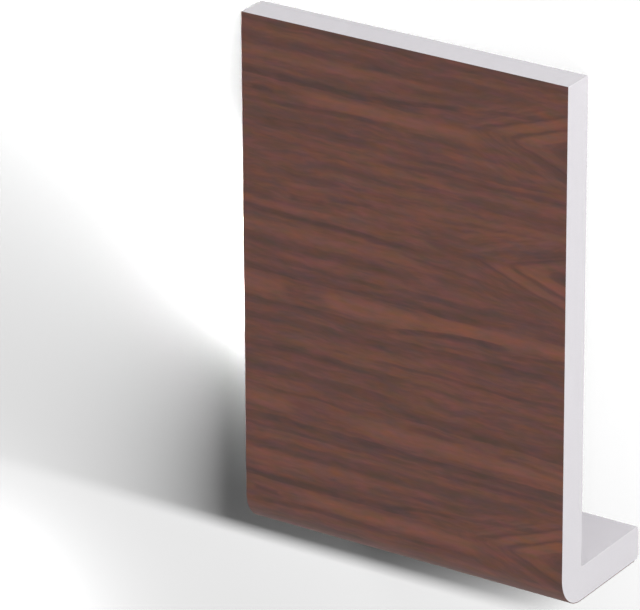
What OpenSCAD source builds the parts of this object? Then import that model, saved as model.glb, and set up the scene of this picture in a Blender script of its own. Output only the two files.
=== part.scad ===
// Foiled fascia board: a flat board whose lower edge turns back into a short leg.
// The section is drawn as the board stands on a house, with its face at depth zero and the
// underside of its leg at height zero. It is then extruded and laid down, face up.

/* [Board] */
// Height, from the underside of the leg to the top edge
board_h = 150; // [120:1:410]
// Thickness over the foil
board_t = 10; // [8:0.5:22]
// Length between the two square cuts
board_l = 100; // [50:5:5000]

/* [Leg] */
// Depth of the leg, from the face of the board to the tip
leg_d = 40; // [34:1:60]
// Thickness over the foil
leg_t = 10; // [8:0.5:22]

/* [Edges] */
// Outer radius of the nose, where the face turns under
nose_r = 10; // [1:0.5:15]
// Fillet between the back of the board and the top of the leg
inner_r = 0.8; // [0.2:0.1:5]
// Rounding of the tip, on the upper side of the leg
tip_top_r = 1.5; // [0.5:0.1:4]
// Rounding of the tip, on the underside of the leg
tip_bottom_r = 1; // [0.2:0.1:3]
// Rounding of the top edge, at the back of the board
top_back_r = 0.5; // [0.2:0.1:3]

/* [Foil] */
// Thickness of the woodgrain foil that is bonded to the face, nose and underside
foil_t = 0.2; // [0.1:0.05:0.5]
// Bare strip between the edge of the foil and the rounding of the tip
bare_strip = 1; // [0:0.5:10]

/* [Hidden] */
$fn = 96;

// How far a cutting shape runs past the shape that it cuts
past = 1;

// Depth at which the foil ends on the underside of the leg
foil_end = leg_d - tip_bottom_r - bare_strip;

// The board rests face up on two round edges: the upper side of the tip, and the top edge at
// the back. Each is given by the centre of its rounding, as depth and height.
tip_centre = [leg_d - tip_top_r, leg_t - tip_top_r];
top_centre = [board_t - top_back_r, board_h - top_back_r];

// The floor touches both roundings, so it is turned by this much from the plane of the face
span = top_centre - tip_centre;
lean = atan2(span[1], span[0]) - acos((tip_top_r - top_back_r) / norm(span));

// Directions in the section: down to the floor, and along the floor to the top edge
down = [cos(lean), sin(lean)];
along = [-sin(lean), cos(lean)];

// Height of the section's own zero point above the floor
rest_height = down * tip_centre + tip_top_r;

// Reach along the floor: the top front corner at one end, the tip or the edge of the foil at
// the other. The finished part is centred between them.
heel_centre = [leg_d - tip_bottom_r, foil_t + tip_bottom_r];
far_reach = along * [0, board_h];
near_reach = min(along * heel_centre - tip_bottom_r, along * [foil_end, 0]);
middle = (far_reach + near_reach) / 2;

// The corner between a face and the underside, rounded: everything behind and above it.
// The nose of the board and both skins of the foil are cut to it, about one shared centre.
module behind_nose(inset) {
    r = nose_r - inset;
    reach = board_h + leg_d;
    translate([nose_r, nose_r]) circle(r);
    translate([inset, nose_r]) square(reach);
    translate([nose_r, inset]) square(reach);
}

// The waste outside a rounded corner that points to the upper right
module corner_waste(r) {
    difference() {
        square(r + past);
        circle(r);
    }
}

// Section of the board without its foil
module board_section() {
    difference() {
        union() {
            square([board_t, board_h]);
            square([leg_d, leg_t]);
            // Fillet in the inner corner
            translate([board_t, leg_t]) difference() {
                square(inner_r);
                translate([inner_r, inner_r]) circle(inner_r);
            }
        }
        // Face, nose and underside, set back to make room for the foil
        difference() {
            translate([-past, -past]) square([leg_d + 2 * past, board_h + 2 * past]);
            behind_nose(foil_t);
        }
        translate(top_centre) corner_waste(top_back_r);
        translate(tip_centre) corner_waste(tip_top_r);
        translate(heel_centre) mirror([0, 1]) corner_waste(tip_bottom_r);
    }
}

// Section of the foil: one skin that follows the face, the nose and the underside
module foil_section() {
    difference() {
        intersection() {
            behind_nose(0);
            square([foil_end, board_h]);
        }
        behind_nose(foil_t);
    }
}

// Extrudes a section along X, centred, and lays it face up on the floor
module lay_face_up() {
    translate([0, -middle, rest_height])
        rotate([-90 - lean, 0, 0])
            rotate([90, 0, 90])
                linear_extrude(height = board_l, center = true)
                    children();
}

module fascia_board() {
    color([0.87, 0.87, 0.88]) lay_face_up() board_section();
}

module woodgrain_foil() {
    color([0.38, 0.26, 0.23]) lay_face_up() foil_section();
}

fascia_board();
woodgrain_foil();
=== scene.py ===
import math
from collections import namedtuple

import bmesh
import bpy
from bpy.props import FloatProperty, FloatVectorProperty, PointerProperty
from mathutils import Matrix, Vector


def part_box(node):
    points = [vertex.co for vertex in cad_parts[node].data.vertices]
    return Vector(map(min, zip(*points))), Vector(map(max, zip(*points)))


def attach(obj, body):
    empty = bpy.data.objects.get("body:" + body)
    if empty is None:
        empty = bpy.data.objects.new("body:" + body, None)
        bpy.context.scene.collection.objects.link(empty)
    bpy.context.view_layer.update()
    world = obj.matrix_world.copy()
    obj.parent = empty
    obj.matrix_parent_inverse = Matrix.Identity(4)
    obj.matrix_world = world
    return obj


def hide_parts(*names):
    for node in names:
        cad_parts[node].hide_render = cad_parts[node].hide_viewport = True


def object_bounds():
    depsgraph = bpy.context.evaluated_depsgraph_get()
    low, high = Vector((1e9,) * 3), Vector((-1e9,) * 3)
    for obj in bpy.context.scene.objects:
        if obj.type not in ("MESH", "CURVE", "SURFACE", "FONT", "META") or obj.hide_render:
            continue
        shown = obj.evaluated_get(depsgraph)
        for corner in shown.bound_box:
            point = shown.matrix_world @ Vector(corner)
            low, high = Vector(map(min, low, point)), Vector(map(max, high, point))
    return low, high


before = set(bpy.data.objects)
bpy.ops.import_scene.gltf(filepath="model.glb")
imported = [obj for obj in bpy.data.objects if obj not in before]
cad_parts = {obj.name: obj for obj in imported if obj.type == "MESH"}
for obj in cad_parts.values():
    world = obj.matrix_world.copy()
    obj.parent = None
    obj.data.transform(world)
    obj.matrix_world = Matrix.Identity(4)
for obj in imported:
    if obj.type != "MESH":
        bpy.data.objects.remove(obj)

bl_info = {
    "name": "Foiled Fascia Board",
    "version": (1, 0, 0),
    "blender": (4, 5, 0),
    "location": "View3D > Sidebar > Fascia Board",
    "description": "Models a short length of woodgrain fascia board, lying face up on a pale floor",
    "category": "Object",
}

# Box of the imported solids, before anything is built
SOLIDS_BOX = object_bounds()
BOARD_LOW, BOARD_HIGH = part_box("fascia_board")

MM = 0.001
CORNER_STEPS = 24
EDGE_STEPS = 6


class FasciaSizes(bpy.types.PropertyGroup):
    """Real sizes of the section, drawn as the board stands: depth from the face, height from the underside"""

    length: FloatProperty(
        name="Length", description="Length between the two square cuts",
        default=BOARD_HIGH.x - BOARD_LOW.x, unit="LENGTH")
    height: FloatProperty(
        name="Height", description="From the underside of the leg to the top edge",
        default=150 * MM, unit="LENGTH")
    thickness: FloatProperty(
        name="Thickness", description="Thickness of the board over its foil",
        default=10 * MM, unit="LENGTH")
    leg_depth: FloatProperty(
        name="Leg depth", description="From the face of the board to the tip of the leg",
        default=40 * MM, unit="LENGTH")
    leg_thickness: FloatProperty(
        name="Leg thickness", description="Thickness of the leg over its foil",
        default=10 * MM, unit="LENGTH")
    nose_radius: FloatProperty(
        name="Nose radius", description="Outer radius where the face turns under",
        default=10 * MM, unit="LENGTH")
    inner_radius: FloatProperty(
        name="Inner fillet", description="Fillet between the back of the board and the top of the leg",
        default=0.8 * MM, unit="LENGTH")
    tip_top_radius: FloatProperty(
        name="Tip, upper side", description="Rounding of the tip on the upper side of the leg",
        default=1.5 * MM, unit="LENGTH")
    tip_bottom_radius: FloatProperty(
        name="Tip, underside", description="Rounding of the tip on the underside of the leg",
        default=1 * MM, unit="LENGTH")
    top_back_radius: FloatProperty(
        name="Top edge, back", description="Rounding of the top edge at the back of the board",
        default=0.5 * MM, unit="LENGTH")
    foil_thickness: FloatProperty(
        name="Foil thickness", description="Thickness of the woodgrain foil",
        default=0.2 * MM, unit="LENGTH")
    bare_strip: FloatProperty(
        name="Bare strip", description="Between the edge of the foil and the rounding of the tip",
        default=1 * MM, unit="LENGTH")
    skin: FloatProperty(
        name="Skin", description="Dense skin that shows round the cellular core on a cut end",
        default=0.4 * MM, unit="LENGTH")


class FoilLook(bpy.types.PropertyGroup):
    """Colours and scale of the woodgrain print"""

    dark: FloatVectorProperty(
        name="Dark grain", description="Colour of the darkest streaks",
        subtype="COLOR", size=3, default=(0.076, 0.034, 0.027))
    mid: FloatVectorProperty(
        name="Ground", description="Colour of most of the print",
        subtype="COLOR", size=3, default=(0.124, 0.049, 0.037))
    light: FloatVectorProperty(
        name="Light grain", description="Colour of the lightest bands",
        subtype="COLOR", size=3, default=(0.205, 0.078, 0.05))
    repeat: FloatProperty(
        name="Print repeat", description="Height after which the printed figure comes again",
        default=117 * MM, unit="LENGTH")
    gloss_roughness: FloatProperty(
        name="Roughness", description="Roughness of the satin foil", default=0.5, min=0, max=1)
    emboss: FloatProperty(
        name="Emboss", description="Depth of the embossed pores", default=0.02 * MM, unit="LENGTH")


class PlasticLook(bpy.types.PropertyGroup):
    """Colours of the white PVC"""

    skin: FloatVectorProperty(
        name="Skin", description="Colour of the extruded skin",
        subtype="COLOR", size=3, default=(0.86, 0.835, 0.87))
    core: FloatVectorProperty(
        name="Core", description="Colour of the sawn cellular core",
        subtype="COLOR", size=3, default=(0.84, 0.815, 0.85))
    cell: FloatProperty(
        name="Cell size", description="Size of the cells in the sawn core",
        default=0.25 * MM, unit="LENGTH")
    saw_pitch: FloatProperty(
        name="Saw marks", description="Distance between two saw marks",
        default=1.4 * MM, unit="LENGTH")


class StudioLook(bpy.types.PropertyGroup):
    """Floor, lamps and surroundings"""

    floor_size: FloatProperty(
        name="Floor", description="Side of the square floor", default=8, unit="LENGTH")
    sky: FloatProperty(
        name="Sky", description="Strength of the even light from all sides", default=0.43)
    key_watts: FloatProperty(
        name="Key", description="Power of the low lamp on the right, on the cut end and the leg", default=7.1)
    fill_watts: FloatProperty(
        name="Fill", description="Power of the low lamp on the left, which shines along the recess", default=1.2)
    top_watts: FloatProperty(
        name="Top", description="Power of the lamp above the face", default=3.3)
    strip_watts: FloatProperty(
        name="Strip", description="Power of the long strip that draws the shadow on the floor",
        default=11300.0)
    lift_watts: FloatProperty(
        name="Lift", description="Power of the small lamp at the edge, which thins the shadow above the foot",
        default=1.8)
    upper_watts: FloatProperty(
        name="Upper", description="Power of the small lamp over the floor above the shadow", default=2.1)
    lower_watts: FloatProperty(
        name="Lower", description="Power of the small lamp over the floor below the shadow", default=0.35)
    side_watts: FloatProperty(
        name="Side", description="Power of the small lamp over the floor to the right", default=0.8)
    floor_seen: FloatProperty(
        name="Floor, seen", description="How light the floor is where it is looked at", default=0.04)
    floor_mirrored: FloatProperty(
        name="Floor, mirrored", description="How light the floor is where the board's gloss mirrors it", default=0.9)
    floor_bounce: FloatProperty(
        name="Floor, bounce", description="How much light the floor gives back to the board", default=0.85)


class CameraView(bpy.types.PropertyGroup):
    """The camera, as it sees the board standing"""

    azimuth: FloatProperty(
        name="Azimuth", description="Turn to the right of the face",
        default=math.radians(33.317), subtype="ANGLE")
    elevation: FloatProperty(
        name="Elevation", description="Angle above the board's own level",
        default=math.radians(23.836), subtype="ANGLE")
    roll: FloatProperty(
        name="Roll", description="Turn about the line of sight",
        default=math.radians(-0.315), subtype="ANGLE")
    distance: FloatProperty(
        name="Distance", description="From the point looked at to the camera",
        default=1.5854, unit="LENGTH")
    lens: FloatProperty(
        name="Lens", description="Focal length in millimetres, on a 36 mm sensor", default=335.6)
    aside: FloatProperty(
        name="Aside", description="Point looked at, to the left of the middle of the board",
        default=25.73 * MM, unit="LENGTH")
    up: FloatProperty(
        name="Up", description="Point looked at, above the underside of the leg",
        default=71.55 * MM, unit="LENGTH")


def lay_down(sizes):
    """Matrix that lays the standing section face up, on the leg's tip and the back of the top edge"""
    tip_r = sizes.tip_top_radius
    top_r = sizes.top_back_radius
    tip = Vector((sizes.leg_depth - tip_r, sizes.leg_thickness - tip_r))
    top = Vector((sizes.thickness - top_r, sizes.height - top_r))
    span = top - tip
    lean = math.atan2(span.y, span.x) - math.acos((tip_r - top_r) / span.length)
    down = Vector((math.cos(lean), math.sin(lean)))
    along = Vector((-math.sin(lean), math.cos(lean)))
    rest_height = down.dot(tip) + tip_r
    heel_r = sizes.tip_bottom_radius
    heel = Vector((sizes.leg_depth - heel_r, sizes.foil_thickness + heel_r))
    foil_end = Vector((foil_reach(sizes), 0))
    near = min(along.dot(heel) - heel_r, along.dot(foil_end))
    far = along.dot(Vector((0, sizes.height)))
    middle = (near + far) / 2
    turn = Matrix.Rotation(-math.pi / 2 - lean, 4, "X")
    return Matrix.Translation((0, -middle, rest_height)) @ turn


def foil_reach(sizes):
    """Depth at which the foil ends on the underside of the leg"""
    return sizes.leg_depth - sizes.tip_bottom_radius - sizes.bare_strip


def deselect_objects():
    if bpy.context.mode != "OBJECT":
        bpy.ops.object.mode_set(mode="OBJECT")
    bpy.ops.object.select_all(action="DESELECT")


def start_piece(name):
    """Names the new primitive, puts its place into its mesh and opens it for editing"""
    piece = bpy.context.active_object
    piece.name = name
    piece.data.name = name
    bpy.ops.object.transform_apply(location=True, rotation=True, scale=True)
    bpy.ops.object.mode_set(mode="EDIT")
    return piece


def pick(piece, kind, test):
    """Selects the faces or edges that pass a test, and nothing else"""
    bpy.ops.mesh.select_all(action="DESELECT")
    bpy.ops.mesh.select_mode(type=kind)
    mesh = bmesh.from_edit_mesh(piece.data)
    for part in mesh.faces if kind == "FACE" else mesh.edges:
        part.select_set(test(part))
    mesh.select_flush_mode()
    bmesh.update_edit_mesh(piece.data)


def runs_along(depth, height):
    """Test for the long edge at this depth and height of the section"""
    place = Vector((depth, height))

    def test(edge):
        return all((vert.co.yz - place).length < 0.01 * MM for vert in edge.verts)

    return test


def finish_piece(piece, sizes, node, materials):
    """Lays the finished piece down and ties it to the frame"""
    bpy.ops.object.mode_set(mode="OBJECT")
    bpy.ops.object.shade_smooth_by_angle(angle=math.radians(30))
    piece.matrix_world = lay_down(sizes)
    bpy.ops.object.transform_apply(location=True, rotation=True, scale=True)
    for material in materials:
        piece.data.materials.append(material)
    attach(piece, "root")
    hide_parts(node)
    low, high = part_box(node)
    slack = 0.05 * MM
    for corner in piece.data.vertices:
        if any(corner.co[i] < low[i] - slack or corner.co[i] > high[i] + slack for i in range(3)):
            raise RuntimeError(f"{piece.name} reaches outside {node}")


def board_blank(sizes):
    """The board and its leg, square-edged and without the foil"""
    foil = sizes.foil_thickness
    deselect_objects()
    bpy.ops.mesh.primitive_cube_add(
        size=1,
        location=(0, (foil + sizes.thickness) / 2, (foil + sizes.height) / 2),
        scale=(sizes.length, sizes.thickness - foil, sizes.height - foil))
    piece = start_piece("board")
    pick(piece, "FACE", lambda face: face.normal.y > 0.9)
    bpy.ops.mesh.bisect(plane_co=(0, 0, sizes.leg_thickness), plane_no=(0, 0, 1))

    def back_of_foot(face):
        return face.normal.y > 0.9 and face.calc_center_median().z < sizes.leg_thickness

    pick(piece, "FACE", back_of_foot)
    bpy.ops.mesh.extrude_region_move(
        TRANSFORM_OT_translate={"value": (0, sizes.leg_depth - sizes.thickness, 0)})
    bpy.ops.mesh.select_all(action="SELECT")
    bpy.ops.mesh.dissolve_limited(angle_limit=math.radians(0.5))
    return piece


def round_edges(piece, sizes):
    """Rounds the nose, the tip, the top edge and the inner corner"""
    foil = sizes.foil_thickness
    corners = (
        (foil, foil, sizes.nose_radius - foil, CORNER_STEPS),
        (sizes.leg_depth, sizes.leg_thickness, sizes.tip_top_radius, EDGE_STEPS),
        (sizes.leg_depth, foil, sizes.tip_bottom_radius, EDGE_STEPS),
        (sizes.thickness, sizes.height, sizes.top_back_radius, EDGE_STEPS),
        (sizes.thickness, sizes.leg_thickness, sizes.inner_radius, EDGE_STEPS),
    )
    for depth, height, radius, steps in corners:
        pick(piece, "EDGE", runs_along(depth, height))
        bpy.ops.mesh.bevel(offset=radius, segments=steps, affect="EDGES")


def mark_cuts(piece, sizes):
    """Insets each saw cut by the dense skin, and gives the core inside it the sawn finish"""
    for side in (-1, 1):
        pick(piece, "FACE", lambda face: face.normal.x * side > 0.99)
        bpy.ops.mesh.inset(thickness=sizes.skin, depth=0)
        mesh = bmesh.from_edit_mesh(piece.data)
        for face in mesh.faces:
            if face.select:
                face.material_index = 1
        bmesh.update_edit_mesh(piece.data)


def foil_sheet(sizes):
    """The foil as a sheet: down the face, round the nose and back under the leg"""
    nose = sizes.nose_radius
    deselect_objects()
    bpy.ops.mesh.primitive_plane_add(
        size=1,
        location=(0, 0, (nose + sizes.height) / 2),
        rotation=(math.pi / 2, 0, 0))
    bpy.context.active_object.scale = (sizes.length, sizes.height - nose, 1)
    piece = start_piece("foil")
    pick(piece, "EDGE", runs_along(0, nose))
    bpy.ops.mesh.spin(
        steps=CORNER_STEPS, angle=-math.pi / 2, center=(0, nose, nose), axis=(1, 0, 0))
    pick(piece, "EDGE", runs_along(nose, 0))
    bpy.ops.mesh.extrude_region_move(
        TRANSFORM_OT_translate={"value": (0, foil_reach(sizes) - nose, 0)})
    bpy.ops.mesh.select_all(action="SELECT")
    bpy.ops.mesh.remove_doubles(threshold=0.001 * MM)
    bpy.ops.mesh.normals_make_consistent(inside=False)
    mesh = bmesh.from_edit_mesh(piece.data)
    mesh.faces.ensure_lookup_table()
    face_side = max(mesh.faces, key=lambda face: face.calc_area())
    if face_side.normal.y > 0:
        bpy.ops.mesh.flip_normals()
    return piece


def unroll_print(piece, sizes):
    """Unrolls the print: metres from the left cut, and metres up the face, down past the nose"""
    nose = sizes.nose_radius
    mesh = bmesh.from_edit_mesh(piece.data)
    layer = mesh.loops.layers.uv.new("print")
    for face in mesh.faces:
        for loop in face.loops:
            depth, height = loop.vert.co.y, loop.vert.co.z
            if height >= nose:
                up = height
            elif depth >= nose:
                up = nose - nose * math.pi / 2 - (depth - nose)
            else:
                up = nose - nose * math.atan2(nose - height, nose - depth)
            loop[layer].uv = (loop.vert.co.x + sizes.length / 2, up)
    bmesh.update_edit_mesh(piece.data)


def thicken_foil(piece, sizes):
    bpy.ops.object.mode_set(mode="OBJECT")
    solidify = piece.modifiers.new("thickness", "SOLIDIFY")
    solidify.thickness = sizes.foil_thickness
    solidify.offset = -1
    solidify.use_even_offset = True
    bpy.ops.object.modifier_apply(modifier=solidify.name)


def add_node(tree, kind, inputs=None, **settings):
    """Adds a node, sets its options, and links or fills the inputs that are given"""
    made = tree.nodes.new(kind)
    for option, value in settings.items():
        setattr(made, option, value)
    for socket, value in (inputs or {}).items():
        if isinstance(value, bpy.types.NodeSocket):
            tree.links.new(value, made.inputs[socket])
        else:
            made.inputs[socket].default_value = value
    return made


def maths(tree, operation, *values):
    """Adds a Math node and gives back its output"""
    return add_node(tree, "ShaderNodeMath", dict(enumerate(values)), operation=operation).outputs[0]


def ease(tree, value, from_low, from_high, to_low, to_high):
    """Adds a smooth, clamped Map Range node and gives back its output"""
    ends = {"Value": value, "From Min": from_low, "From Max": from_high,
            "To Min": to_low, "To Max": to_high}
    return add_node(tree, "ShaderNodeMapRange", ends, interpolation_type="SMOOTHSTEP").outputs[0]


def point(tree, along, up, deep=0.0):
    return add_node(tree, "ShaderNodeCombineXYZ", {"X": along, "Y": up, "Z": deep}).outputs[0]


def noise(tree, along, up, length, width, seed, detail=2.0):
    """Noise between 0 and 1, in patches of this length and width in millimetres"""
    scaled = point(tree, maths(tree, "DIVIDE", along, length), maths(tree, "DIVIDE", up, width), seed)
    inputs = {"Vector": scaled, "Scale": 1.0, "Detail": detail, "Roughness": 0.5}
    return add_node(tree, "ShaderNodeTexNoise", inputs).outputs["Fac"]


def swing(tree, value, amount):
    """Turns noise between 0 and 1 into a swing of this amount to either side"""
    return maths(tree, "MULTIPLY", maths(tree, "SUBTRACT", value, 0.5), 2 * amount)


# One streak of the print, in millimetres: height of its middle at the start, start and end along
# the length, rise from start to end, bow between them, fade above and below, and strength
Streak = namedtuple("Streak", "height start end rise bow above below strength")

DARK_STREAKS = (
    Streak(117.2, 38, 115, 0, 0, 0.9, 0.7, 0.6),
    Streak(112.2, 22, 64, 0, 0, 1.5, 1.2, 0.6),
    Streak(111.0, 64, 106, 0, 0, 2.2, 1.2, 0.6),
    Streak(107.0, 12, 32, 0, 0, 1.2, 0.9, 0.7),
    Streak(102.0, 26, 42, 1.6, 0, 0.8, 0.6, 0.8),
    Streak(100.8, 14, 27, 0.4, 0, 1.2, 0.8, 1.0),
    Streak(99.8, -5, 12, 0, 0, 1.5, 1.5, 0.6),
    Streak(98.6, 56, 80, -3.0, 0, 1.2, 1.8, 0.9),
    Streak(99.4, 85, 101, 4.6, 0, 1.4, 1.2, 1.0),
    Streak(97.0, 94, 108, 0, 0, 1.8, 1.8, 0.8),
    Streak(95.4, -15, 62, -1.6, 0.6, 0.9, 1.3, 1.5),
    Streak(92.6, 48, 90, -4.0, 0, 0.4, 0.6, 0.6),
    Streak(88.0, 82, 100, 1.0, 0, 1.3, 1.3, 0.7),
    Streak(86.3, -15, 60, 0, 0, 2.0, 1.5, 0.8),
    Streak(87.0, 58, 86, 0, 0, 1.6, 0.8, 0.5),
    Streak(81.6, 0, 48, -0.6, 0, 0.6, 0.6, 0.6),
    Streak(81.4, 50, 115, 0, 0, 1.0, 1.0, 0.6),
    Streak(77.6, -15, 84, 0, 0, 2.2, 0.5, 1.0),
    Streak(78.0, 90, 115, 0, 0, 1.4, 0.5, 0.8),
    Streak(69.6, 46, 85, 3.0, 1.6, 0.6, 1.6, 1.7),
    Streak(70.6, 80, 110, 3.4, 0, 0.5, 0.9, 0.7),
    Streak(69.3, -15, 50, 0, 0, 0.5, 2.0, 0.7),
    Streak(66.8, 42, 104, 0.8, 0, 0.6, 2.0, 0.9),
    Streak(68.0, 74, 104, 1.6, 0, 1.6, 2.4, 0.6),
    Streak(64.2, -15, 60, 0.6, 0, 1.2, 2.2, 0.8),
    Streak(59.6, 36, 110, 0, 0, 0.5, 0.8, 0.8),
    Streak(55.2, -8, 56, 0, 0.8, 1.2, 1.4, 0.9),
    Streak(55.0, 50, 84, 0.6, 0, 0.5, 1.0, 0.5),
    Streak(49.5, -8, 54, 0, 0, 1.2, 2.6, 0.8),
    Streak(45.4, 42, 114, -1.6, 0, 2.8, 0.5, 1.0),
    Streak(43.4, -8, 44, 0, 0, 0.5, 0.5, 0.5),
    Streak(42.6, 50, 68, -0.6, 0, 1.0, 0.8, 0.8),
    Streak(41.5, 78, 112, -3, 0, 0.8, 1.0, 0.8),
    Streak(35.4, -20, 120, -1.0, 0, 0.5, 2.4, 1.1),
    Streak(31.8, -10, 60, 0, 0, 0.8, 0.6, 0.7),
    Streak(31.2, 56, 115, 0, 0, 1.0, 0.6, 0.8),
    Streak(26.4, -20, 96, 0, 0, 2.2, 1.6, 0.8),
    Streak(21.0, 50, 88, 3.6, 0, 1.6, 0.5, 0.5),
    Streak(17.0, 40, 100, 6.2, 0, 0.9, 0.5, 1.2),
    Streak(16.6, -15, 60, 0, 0, 2.0, 0.6, 1.5),
    Streak(12.6, 2, 11, 0, 0, 1.0, 1.0, 1.0),
    Streak(9.0, 0, 48, 1.0, 0.8, 0.8, 0.8, 1.0),
    Streak(9.4, 50, 74, 0, 0, 0.8, 0.8, 0.7),
    Streak(3.4, 0, 44, 0, 1.8, 1.0, 3.0, 0.8),
    Streak(3.6, 46, 100, -1.0, 0, 0.8, 1.2, 0.6),
)

LIGHT_BANDS = (
    Streak(114.5, 36, 115, 0, 0, 1.2, 1.2, 0.5),
    Streak(109.6, 20, 60, 0, 0, 1.0, 1.0, 0.4),
    Streak(106.2, 48, 112, 1.6, 0, 1.2, 1.2, 0.7),
    Streak(103.0, 56, 100, 3.0, 0, 0.7, 0.7, 0.5),
    Streak(104.6, 12, 30, 0, 0, 0.8, 0.8, 0.5),
    Streak(97.6, -10, 34, 0, 0, 0.8, 1.0, 0.5),
    Streak(90.6, -15, 60, 0, 0, 1.8, 1.8, 0.7),
    Streak(83.4, 0, 100, 0, 0, 1.0, 1.0, 0.4),
    Streak(73.5, -10, 16, 0, 0, 3.0, 3.2, 1.1),
    Streak(73.4, 22, 58, 0, 0, 3.0, 3.0, 1.3),
    Streak(74.8, 50, 112, 0.8, 0, 2.4, 2.6, 1.0),
    Streak(62.6, 50, 90, 1.0, 0, 1.0, 1.0, 0.4),
    Streak(58.4, 0, 46, 0, 0, 1.0, 1.0, 0.4),
    Streak(39.8, -12, 18, 0, 0, 3.0, 3.4, 1.0),
    Streak(39.6, 28, 120, -1.2, 0, 3.0, 3.0, 1.0),
    Streak(29.2, 0, 50, 0, 0, 1.0, 1.0, 0.4),
    Streak(23.0, -15, 50, 0, 0, 2.0, 1.6, 0.7),
    Streak(13.4, 12, 80, -0.4, 0, 2.2, 2.2, 1.1),
    Streak(7.0, 56, 104, -1.4, 0, 1.0, 1.0, 0.5),
)


def streak_group():
    """Node group that adds one streak to the sum of those before it"""
    group = bpy.data.node_groups.new("grain_streak", "ShaderNodeTree")
    for name in ("Sum", "Along", "Up") + tuple(field.capitalize() for field in Streak._fields):
        group.interface.new_socket(name, in_out="INPUT", socket_type="NodeSocketFloat")
    group.interface.new_socket("Sum", in_out="OUTPUT", socket_type="NodeSocketFloat")
    given = group.nodes.new("NodeGroupInput").outputs
    result = group.nodes.new("NodeGroupOutput").inputs
    length = maths(group, "SUBTRACT", given["End"], given["Start"])
    share = maths(group, "DIVIDE", maths(group, "SUBTRACT", given["Along"], given["Start"]), length)
    back = maths(group, "SUBTRACT", 1.0, share)
    arch = maths(group, "MULTIPLY", maths(group, "MULTIPLY", share, back), 4.0)
    middle = maths(group, "MULTIPLY_ADD", share, given["Rise"], given["Height"])
    middle = maths(group, "MULTIPLY_ADD", arch, given["Bow"], middle)
    off = maths(group, "SUBTRACT", given["Up"], middle)
    above = ease(group, maths(group, "DIVIDE", off, given["Above"]), 0.3, 1.2, 1.0, 0.0)
    below = ease(group, maths(group, "DIVIDE", off, given["Below"]), -0.3, -1.2, 1.0, 0.0)
    starts = ease(group, share, 0.0, 0.2, 0.0, 1.0)
    ends = ease(group, back, 0.0, 0.2, 0.0, 1.0)
    shape = maths(group, "MULTIPLY", above, below)
    taper = maths(group, "MULTIPLY", starts, ends)
    tone = maths(group, "MULTIPLY", maths(group, "MULTIPLY", shape, taper), given["Strength"])
    group.links.new(maths(group, "ADD", given["Sum"], tone), result["Sum"])
    return group


def sum_of_streaks(tree, group, along, up, streaks):
    total = 0.0
    for streak in streaks:
        inputs = {"Along": along, "Up": up}
        inputs.update({name.capitalize(): float(value) for name, value in streak._asdict().items()})
        holder = add_node(tree, "ShaderNodeGroup", node_tree=group)
        for socket, value in inputs.items():
            if isinstance(value, float):
                holder.inputs[socket].default_value = value
            else:
                tree.links.new(value, holder.inputs[socket])
        if isinstance(total, float):
            holder.inputs["Sum"].default_value = total
        else:
            tree.links.new(total, holder.inputs["Sum"])
        total = holder.outputs["Sum"]
    return total


# A cathedral: rings that run nearly straight, meet in a point on the left and open to the right, in
# millimetres. The inner ring has its point at this place and opens by this share of the length, and
# the outer ring lies a gap outside it. The light flame between the two rings is above the axis where
# the side is 1, and below it where the side is -1.
Cathedral = namedtuple("Cathedral", "along up tilt opening gap side")

CATHEDRALS = (
    Cathedral(84, 15.3, -0.02, 0.36, 3.4, 1),
    Cathedral(84, 96.6, 0.0, 0.30, 3.2, -1),
)
POINT_ROUNDING = 0.8


def band(tree, value, start, full, fading, end):
    """1 between full and fading, easing to 0 at start and end"""
    rise = ease(tree, value, start, full, 0.0, 1.0)
    return maths(tree, "MULTIPLY", rise, ease(tree, value, fading, end, 1.0, 0.0))


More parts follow.
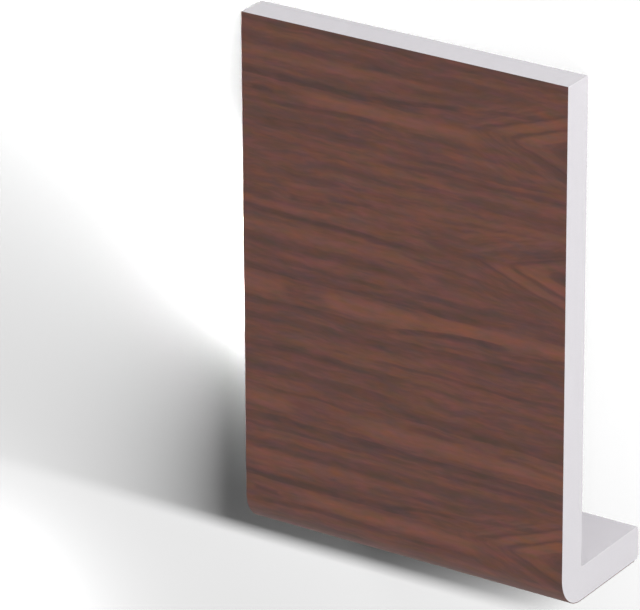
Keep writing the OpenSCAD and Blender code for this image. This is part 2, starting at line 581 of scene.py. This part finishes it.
def cathedral_tone(tree, along, up, figure):
    """Dark tone and light tone of one cathedral, distance outside its inner ring, side and reach"""
    past_tip = maths(tree, "SUBTRACT", along, float(figure.along))
    off = maths(tree, "SUBTRACT", up, maths(tree, "MULTIPLY_ADD", past_tip, figure.tilt, float(figure.up)))
    rounded = maths(tree, "SQRT", maths(tree, "MULTIPLY_ADD", off, off, POINT_ROUNDING ** 2))
    opened = maths(tree, "SMOOTH_MAX", past_tip, -figure.gap / figure.opening - 3.0, 3.0)
    outward = maths(tree, "MULTIPLY_ADD", opened, -figure.opening, maths(tree, "SUBTRACT", rounded, POINT_ROUNDING))
    side = ease(tree, off, -1.5, 1.5, 0.0, 1.0)
    lit = side if figure.side > 0 else maths(tree, "SUBTRACT", 1.0, side)
    unlit = maths(tree, "SUBTRACT", 1.0, lit)
    past_outer = maths(tree, "SUBTRACT", outward, figure.gap)

    inner_ring = band(tree, outward, -0.3, 0.0, 0.0, 0.6)
    outer_ring = band(tree, past_outer, -0.3, 0.0, 0.0, 1.0)
    shade = band(tree, outward, -2.0, 0.0, 0.0, 3.0)
    shade = maths(tree, "MULTIPLY", maths(tree, "MULTIPLY", shade, unlit), ease(tree, past_tip, 0.0, 8.0, 0.0, 0.7))
    spot = maths(tree, "MULTIPLY", ease(tree, outward, -4.4, -3.2, 0.5, 0.0), ease(tree, past_tip, 10.0, 15.0, 0.0, 1.0))
    dark = maths(tree, "MULTIPLY_ADD", outer_ring, maths(tree, "MULTIPLY", lit, 0.5), maths(tree, "ADD", shade, spot))
    dark = maths(tree, "MULTIPLY_ADD", inner_ring, 0.45, dark)

    flame = maths(tree, "MULTIPLY", ease(tree, outward, 0.4, 1.2, 0.0, 1.0), ease(tree, past_outer, -1.0, 0.0, 1.0, 0.0))
    flame = maths(tree, "MULTIPLY", maths(tree, "MULTIPLY", flame, lit), ease(tree, past_tip, -10.0, 0.0, 0.0, 1.0))
    heart = maths(tree, "MULTIPLY", band(tree, outward, -3.6, -2.8, -0.9, -0.2), maths(tree, "MULTIPLY_ADD", lit, 0.5, 0.6))
    light = maths(tree, "ADD", heart, flame)

    far = ease(tree, maths(tree, "ABSOLUTE", off), 9.0, 13.0, 1.0, 0.0)
    reach = maths(tree, "MULTIPLY", far, ease(tree, past_tip, -28.0, -14.0, 0.0, 1.0))
    return maths(tree, "MULTIPLY", dark, reach), maths(tree, "MULTIPLY", light, reach), outward, side, reach


def grain_noise(tree, along, up, side=0.0):
    """Broad bands, streaks and fibres of the grain, as a swing round zero"""
    bands = swing(tree, noise(tree, along, up, 40, 7, maths(tree, "ADD", side, 1.3)), 0.25)
    streaks = swing(tree, noise(tree, along, up, 16, 2.0, maths(tree, "ADD", side, 5.9), 3.0), 0.34)
    fibres = swing(tree, noise(tree, along, up, 4, 0.7, maths(tree, "ADD", side, 9.2), 2.0), 0.22)
    return maths(tree, "ADD", bands, maths(tree, "ADD", streaks, fibres))


def woodgrain_foil(look):
    """Satin foil, printed with dark red-brown grain that runs along the length"""
    material = bpy.data.materials.new("woodgrain_foil")
    material.use_nodes = True
    tree = material.node_tree
    shader = tree.nodes["Principled BSDF"]
    print_map = add_node(tree, "ShaderNodeUVMap", uv_map="print")
    in_mm = add_node(tree, "ShaderNodeVectorMath", {0: print_map.outputs["UV"], "Scale": 1 / MM},
                     operation="SCALE").outputs[0]
    place = add_node(tree, "ShaderNodeSeparateXYZ", {0: in_mm})
    along, up = place.outputs["X"], place.outputs["Y"]

    # The grain wanders slowly, and trembles a little within that
    wander = swing(tree, noise(tree, along, up, 36, 16, 3.1), 1.6)
    tremble = swing(tree, noise(tree, along, up, 11, 5, 7.7), 0.8)
    wavy_up = maths(tree, "ADD", maths(tree, "ADD", up, wander), tremble)
    calm_up = maths(tree, "ADD", maths(tree, "MULTIPLY_ADD", wander, 0.25, up), tremble)

    # The figure comes again one print repeat higher up
    repeat = look.repeat / MM
    low_end = 2.0
    figure_up = maths(tree, "WRAP", calm_up, low_end + repeat, low_end)
    group = streak_group()
    dark = sum_of_streaks(tree, group, along, figure_up, DARK_STREAKS)
    light = sum_of_streaks(tree, group, along, figure_up, LIGHT_BANDS)
    blotches = noise(tree, along, wavy_up, 7, 2, 2.6)
    dark = maths(tree, "MULTIPLY", dark, ease(tree, blotches, 0.3, 0.7, 0.65, 1.2))

    # Between the named figures the grain is left to chance, and it follows the rings near a cathedral
    grain = grain_noise(tree, along, wavy_up)
    for figure in CATHEDRALS:
        ring_dark, ring_light, outward, side, reach = cathedral_tone(tree, along, figure_up, figure)
        apart = maths(tree, "SUBTRACT", 1.0, reach)
        ring_grain = grain_noise(tree, along, outward, side)
        grain = maths(tree, "MULTIPLY_ADD", grain, apart, maths(tree, "MULTIPLY", ring_grain, reach))
        dark = maths(tree, "MULTIPLY_ADD", dark, maths(tree, "MULTIPLY_ADD", reach, -0.4, 1.0), ring_dark)
        light = maths(tree, "ADD", light, ring_light)
    calm = maths(tree, "MULTIPLY_ADD", maths(tree, "MINIMUM", light, 1.0), -0.4, 1.0)
    tone = maths(tree, "MULTIPLY_ADD", grain, calm, 0.58)
    tone = maths(tree, "MULTIPLY_ADD", dark, -0.37, tone)
    tone = maths(tree, "MULTIPLY_ADD", light, 0.32, tone)

    ramp = add_node(tree, "ShaderNodeValToRGB", {"Fac": tone})
    stops = ramp.color_ramp.elements
    stops[0].position = 0.0
    stops[0].color = (*look.dark, 1)
    stops[1].position = 1.0
    stops[1].color = (*look.light, 1)
    ground = stops.new(0.5)
    ground.color = (*look.mid, 1)
    redder = maths(tree, "ADD", 1.0, swing(tree, noise(tree, along, wavy_up, 6, 1.8, 6.4), 0.35))
    bluer = maths(tree, "ADD", 1.0, swing(tree, noise(tree, along, wavy_up, 6, 1.8, 8.5), 0.55))
    tint = point(tree, redder, 1.0, bluer)
    tinted = add_node(tree, "ShaderNodeVectorMath", {0: ramp.outputs["Color"], 1: tint}, operation="MULTIPLY")
    tree.links.new(tinted.outputs[0], shader.inputs["Base Color"])

    # Embossed pores: short ticks along the grain, which also scatter the gloss
    pores = noise(tree, along, wavy_up, 5, 0.25, 4.4, 1.0)
    relief = add_node(tree, "ShaderNodeBump", {"Height": pores, "Strength": 0.35, "Distance": look.emboss})
    tree.links.new(relief.outputs["Normal"], shader.inputs["Normal"])
    shader.inputs["Specular IOR Level"].default_value = 0.3
    gloss = maths(tree, "ADD", look.gloss_roughness, swing(tree, pores, 0.08))
    tree.links.new(gloss, shader.inputs["Roughness"])
    return material


def object_place(tree, scale=1.0):
    """Object coordinates in millimetres"""
    coordinates = add_node(tree, "ShaderNodeTexCoord").outputs["Object"]
    scaled = add_node(tree, "ShaderNodeVectorMath", {0: coordinates, "Scale": scale / MM}, operation="SCALE")
    return scaled.outputs[0]


def skin_plastic(look):
    """Smooth extruded PVC skin, with a faint drag along the length"""
    material = bpy.data.materials.new("white_pvc_skin")
    material.use_nodes = True
    tree = material.node_tree
    shader = tree.nodes["Principled BSDF"]
    place = object_place(tree)
    drag = add_node(tree, "ShaderNodeMapping", {"Vector": place, "Scale": (0.02, 0.6, 0.6)}).outputs[0]
    lines = add_node(tree, "ShaderNodeTexNoise", {"Vector": drag, "Scale": 1.0, "Detail": 3.0}).outputs["Fac"]
    cloud = add_node(tree, "ShaderNodeTexNoise", {"Vector": place, "Scale": 0.06, "Detail": 2.0}).outputs["Fac"]
    shade = maths(tree, "ADD", maths(tree, "MULTIPLY", lines, 0.5), maths(tree, "MULTIPLY", cloud, 0.5))
    tint = add_node(tree, "ShaderNodeValToRGB", {"Fac": shade})
    tint.color_ramp.elements[0].position = 0.3
    tint.color_ramp.elements[0].color = (*(channel * 0.975 for channel in look.skin), 1)
    tint.color_ramp.elements[1].position = 0.7
    tint.color_ramp.elements[1].color = (*look.skin, 1)
    tree.links.new(tint.outputs["Color"], shader.inputs["Base Color"])
    shader.inputs["Specular IOR Level"].default_value = 0.25
    tree.links.new(maths(tree, "ADD", 0.38, swing(tree, lines, 0.1)), shader.inputs["Roughness"])
    relief = add_node(tree, "ShaderNodeBump", {"Height": lines, "Strength": 0.15, "Distance": 0.02 * MM})
    tree.links.new(relief.outputs["Normal"], shader.inputs["Normal"])
    return material


def sawn_plastic(look):
    """Sawn cellular core: fine cells and faint marks of the saw"""
    material = bpy.data.materials.new("white_pvc_sawn")
    material.use_nodes = True
    tree = material.node_tree
    shader = tree.nodes["Principled BSDF"]
    place = object_place(tree)
    cells = add_node(tree, "ShaderNodeTexVoronoi", {"Vector": place, "Scale": MM / look.cell}).outputs["Distance"]
    waves = add_node(tree, "ShaderNodeTexWave", {
        "Vector": place, "Scale": 0.31416 * MM / look.saw_pitch, "Distortion": 0.6, "Detail": 1.0,
        "Detail Scale": 0.2}, bands_direction="Y").outputs["Fac"]
    height = maths(tree, "MULTIPLY_ADD", waves, 0.5, cells)
    relief = add_node(tree, "ShaderNodeBump", {"Height": height, "Strength": 0.3, "Distance": 0.03 * MM})
    tree.links.new(relief.outputs["Normal"], shader.inputs["Normal"])
    tint = add_node(tree, "ShaderNodeValToRGB", {"Fac": cells})
    tint.color_ramp.elements[0].position = 0.1
    tint.color_ramp.elements[0].color = (*(channel * 0.95 for channel in look.core), 1)
    tint.color_ramp.elements[1].position = 0.5
    tint.color_ramp.elements[1].color = (*look.core, 1)
    tree.links.new(tint.outputs["Color"], shader.inputs["Base Color"])
    tree.links.new(maths(tree, "ADD", 0.6, swing(tree, cells, 0.1)), shader.inputs["Roughness"])
    return material


def on_rays(tree, *kinds):
    """1 on rays of these kinds, and 0 on the others"""
    rays = add_node(tree, "ShaderNodeLightPath").outputs
    picked = 0.0
    for kind in kinds:
        picked = maths(tree, "MAXIMUM", picked, rays[kind])
    return picked


def pale_floor(look):
    """Pale floor that looks white, and lights the board as a light grey one"""
    material = bpy.data.materials.new("pale_floor")
    material.use_nodes = True
    tree = material.node_tree
    tree.nodes.remove(tree.nodes["Principled BSDF"])
    looked_at = on_rays(tree, "Is Camera Ray")
    mirrored = on_rays(tree, "Is Glossy Ray", "Is Transmission Ray")
    tone = maths(tree, "MULTIPLY_ADD", looked_at, look.floor_seen - look.floor_bounce, look.floor_bounce)
    tone = maths(tree, "MULTIPLY_ADD", mirrored, look.floor_mirrored - look.floor_bounce, tone)
    colour = add_node(tree, "ShaderNodeCombineColor", {"Red": tone, "Green": tone, "Blue": tone}).outputs[0]
    matt = add_node(tree, "ShaderNodeBsdfDiffuse", {"Color": colour})
    tree.links.new(matt.outputs[0], tree.nodes["Material Output"].inputs["Surface"])
    return material


class FASCIA_OT_board(bpy.types.Operator):
    """Model the white PVC board: a flat board with a rounded nose and a return leg"""

    bl_idname = "fascia.board"
    bl_label = "PVC board"

    def execute(self, context):
        sizes = context.scene.fascia_sizes
        look = context.scene.fascia_plastic
        piece = board_blank(sizes)
        round_edges(piece, sizes)
        mark_cuts(piece, sizes)
        materials = (skin_plastic(look), sawn_plastic(look))
        finish_piece(piece, sizes, "fascia_board", materials)
        return {"FINISHED"}


class FASCIA_OT_foil(bpy.types.Operator):
    """Model the woodgrain foil on the face, the nose and the underside of the leg"""

    bl_idname = "fascia.foil"
    bl_label = "Woodgrain foil"

    def execute(self, context):
        sizes = context.scene.fascia_sizes
        piece = foil_sheet(sizes)
        unroll_print(piece, sizes)
        thicken_foil(piece, sizes)
        materials = (woodgrain_foil(context.scene.fascia_foil),)
        finish_piece(piece, sizes, "woodgrain_foil", materials)
        return {"FINISHED"}


class FASCIA_OT_stage(bpy.types.Operator):
    """Lay the pale floor, and set up the soft lamps and the camera"""

    bl_idname = "fascia.stage"
    bl_label = "Floor, light and camera"

    def execute(self, context):
        scene = context.scene
        look = scene.fascia_studio
        deselect_objects()
        bpy.ops.mesh.primitive_plane_add(size=look.floor_size, location=(0, 0, SOLIDS_BOX[0].z))
        floor = context.active_object
        floor.name = "floor"
        floor.data.materials.append(pale_floor(look))
        light_board(scene, look)
        light_floor(look, floor)
        place_camera(scene)
        scene.view_settings.view_transform = "Standard"
        return {"FINISHED"}


def area_lamp(name, watts, size, place, target):
    """Adds a flat lamp of this width and depth at a place, with its beam towards the target"""
    bpy.ops.object.light_add(type="AREA")
    lamp = bpy.context.active_object
    lamp.name = name
    lamp.data.shape = "RECTANGLE"
    lamp.data.size, lamp.data.size_y = size
    lamp.data.energy = watts
    lamp.location = place
    lamp.rotation_euler = (Vector(target) - Vector(place)).to_track_quat("-Z", "Y").to_euler()
    return lamp


def light_board(scene, look):
    """Even light from all sides, a low lamp on either side and one above the face"""
    world = bpy.data.worlds.new("studio")
    world.use_nodes = True
    scene.world = world
    tree = world.node_tree
    looked_at = on_rays(tree, "Is Camera Ray", "Is Glossy Ray", "Is Transmission Ray")
    strength = maths(tree, "MULTIPLY_ADD", looked_at, 1 - look.sky, look.sky)
    tree.links.new(strength, tree.nodes["Background"].inputs["Strength"])
    tree.nodes["Background"].inputs["Color"].default_value = (1, 1, 1, 1)
    area_lamp("key", look.key_watts, (0.5, 0.5), (0.96, 0.69, 0.3), (0, 0, 0.02))
    area_lamp("fill", look.fill_watts, (0.1, 0.03), (-0.5, 0.05, 0.02), (0, 0, 0.02))
    area_lamp("top", look.top_watts, (0.5, 0.5), (0.1, 0.3, 1.5), (0, 0, 0.02))


def floor_lamp(name, watts, size, place, target, lit):
    """Adds a lamp that lights only what is in the collection lit, and that nobody sees"""
    lamp = area_lamp(name, watts, size, place, target)
    lamp.data.cycles.max_bounces = 0
    lamp.data.cycles.use_multiple_importance_sampling = False
    lamp.visible_camera = False
    lamp.light_linking.receiver_collection = lit


def light_floor(look, floor):
    """A long strip draws the board's shadow on the floor, and small lamps thin it"""
    lit = bpy.data.collections.new("lit_for_shadow")
    lit.objects.link(floor)
    floor_lamp("strip", look.strip_watts, (6.1, 0.12), (4.15, 1.2, 1.2), (4.15, 0, 0), lit)
    small = {
        "lift": (look.lift_watts, (-0.05, -0.01, 0.022)),
        "upper": (look.upper_watts, (-0.1, 0.09, 0.07)),
        "lower": (look.lower_watts, (-0.18, -0.16, 0.04)),
        "side": (look.side_watts, (0.12, 0, 0.12)),
    }
    for name, (watts, place) in small.items():
        floor_lamp(name, watts, (0.05, 0.05), place, (place[0], place[1], 0), lit)


def place_camera(scene):
    """Looks at the board as it would stand, then lays the camera down with it"""
    view = scene.fascia_camera
    bpy.ops.object.camera_add()
    camera = bpy.context.active_object
    camera.name = "camera"
    camera.data.lens = view.lens
    camera.data.sensor_width = 36
    camera.data.clip_end = 50
    looked_at = Matrix.Translation((-view.aside, 0, view.up))
    turned = Matrix.Rotation(view.azimuth, 4, "Z") @ Matrix.Rotation(math.pi / 2 - view.elevation, 4, "X")
    rolled = Matrix.Rotation(view.roll, 4, "Z") @ Matrix.Translation((0, 0, view.distance))
    camera.matrix_world = lay_down(scene.fascia_sizes) @ looked_at @ turned @ rolled
    scene.camera = camera


class FASCIA_PT_steps(bpy.types.Panel):
    """Lists the steps that build the board"""

    bl_idname = "FASCIA_PT_steps"
    bl_label = "Fascia Board"
    bl_space_type = "VIEW_3D"
    bl_region_type = "UI"
    bl_category = "Fascia Board"

    def draw(self, context):
        for step in (FASCIA_OT_board, FASCIA_OT_foil, FASCIA_OT_stage):
            self.layout.operator(step.bl_idname)


SETTINGS = {
    "fascia_sizes": FasciaSizes,
    "fascia_foil": FoilLook,
    "fascia_plastic": PlasticLook,
    "fascia_studio": StudioLook,
    "fascia_camera": CameraView,
}

CLASSES = (*SETTINGS.values(), FASCIA_OT_board, FASCIA_OT_foil, FASCIA_OT_stage, FASCIA_PT_steps)


def register():
    for item in CLASSES:
        bpy.utils.register_class(item)
    for name, group in SETTINGS.items():
        setattr(bpy.types.Scene, name, PointerProperty(type=group))


def unregister():
    for name in SETTINGS:
        delattr(bpy.types.Scene, name)
    for item in reversed(CLASSES):
        bpy.utils.unregister_class(item)


def main():
    register()
    bpy.ops.fascia.board()
    bpy.ops.fascia.foil()
    bpy.ops.fascia.stage()


if __name__ == "__main__":
    main()
